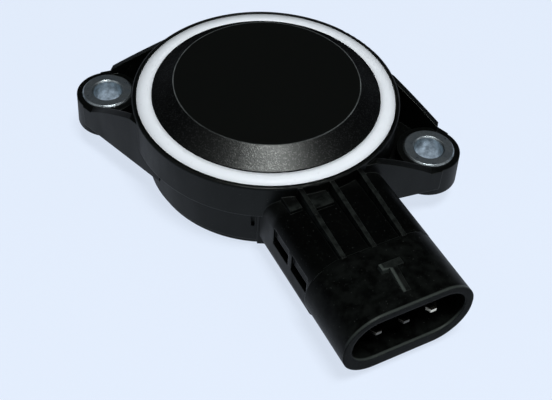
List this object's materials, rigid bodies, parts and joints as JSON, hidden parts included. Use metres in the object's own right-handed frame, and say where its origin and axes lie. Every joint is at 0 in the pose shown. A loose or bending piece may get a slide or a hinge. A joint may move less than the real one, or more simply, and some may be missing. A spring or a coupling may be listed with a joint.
{
  "type": "rotary position potentiometer",
  "caption": "Sealed rotary potentiometer: round black housing with bolt ears, white-beaded bevelled cover, angled plug socket and a sprung rotor with a slotted drive socket.",
  "frame": {"origin": "on the rotor axis, in the plane of both bushings' lower faces, which is the plane that the sensor is bolted down on", "axes": "+X along the line of the two mounting holes towards the ear beside the connector, +Z along the rotor axis out through the cover, +Y away from the connector; the connector points 51 degrees from +X towards -Y"},
  "size_m": [0.0763, 0.0698, 0.0202],
  "materials": {
    "housing_plastic": "glass-filled nylon, fine grain, satin",
    "cover_plastic": "glass-filled nylon, satin",
    "sealing_bead": "white silicone bead, satin",
    "bushing_metal": "zinc-plated steel",
    "pin_metal": "tin-plated brass, bright",
    "seal_rubber": "moulded rubber, matt",
    "bush_bronze": "sintered bronze, matt",
    "washer_plastic": "natural low-friction plastic",
    "spring_steel": "bright spring steel",
    "board_ceramic": "off-white ceramic",
    "resistive_ink": "printed carbon film",
    "conductor_ink": "printed silver film",
    "contact_metal": "spring bronze",
    "rotor_plastic": "moulded acetal, satin"
  },
  "bodies": {
    "body": {"housing": "housing_plastic", "cover": "cover_plastic", "cover_seal": "sealing_bead", "bushing_left": "bushing_metal", "bushing_right": "bushing_metal", "pin_left": "pin_metal", "pin_middle": "pin_metal", "pin_right": "pin_metal", "foot_o_ring": "seal_rubber", "rotor_bush": "bush_bronze", "shaft_seal": "seal_rubber", "thrust_washer": "washer_plastic", "return_spring": "spring_steel", "spring_washer": "spring_steel", "track_board": "board_ceramic", "resistive_track": "resistive_ink", "conductor_track": "conductor_ink", "contact_left": "contact_metal", "contact_middle": "contact_metal", "contact_right": "contact_metal"},
    "rotor": {"rotor": "rotor_plastic", "wiper_carrier": "rotor_plastic", "wiper": "contact_metal"}
  },
  "joints": [
    {"name": "rotor_turn", "type": "hinge", "parent": "body", "child": "rotor", "pos_m": [0, 0, 0.002], "axis": [0, 0, 1], "range_deg": [0, 110], "stiffness_Nm_per_rad": 0.006, "springref_deg": -34.38, "deforming": ["return_spring"]}
  ]
}
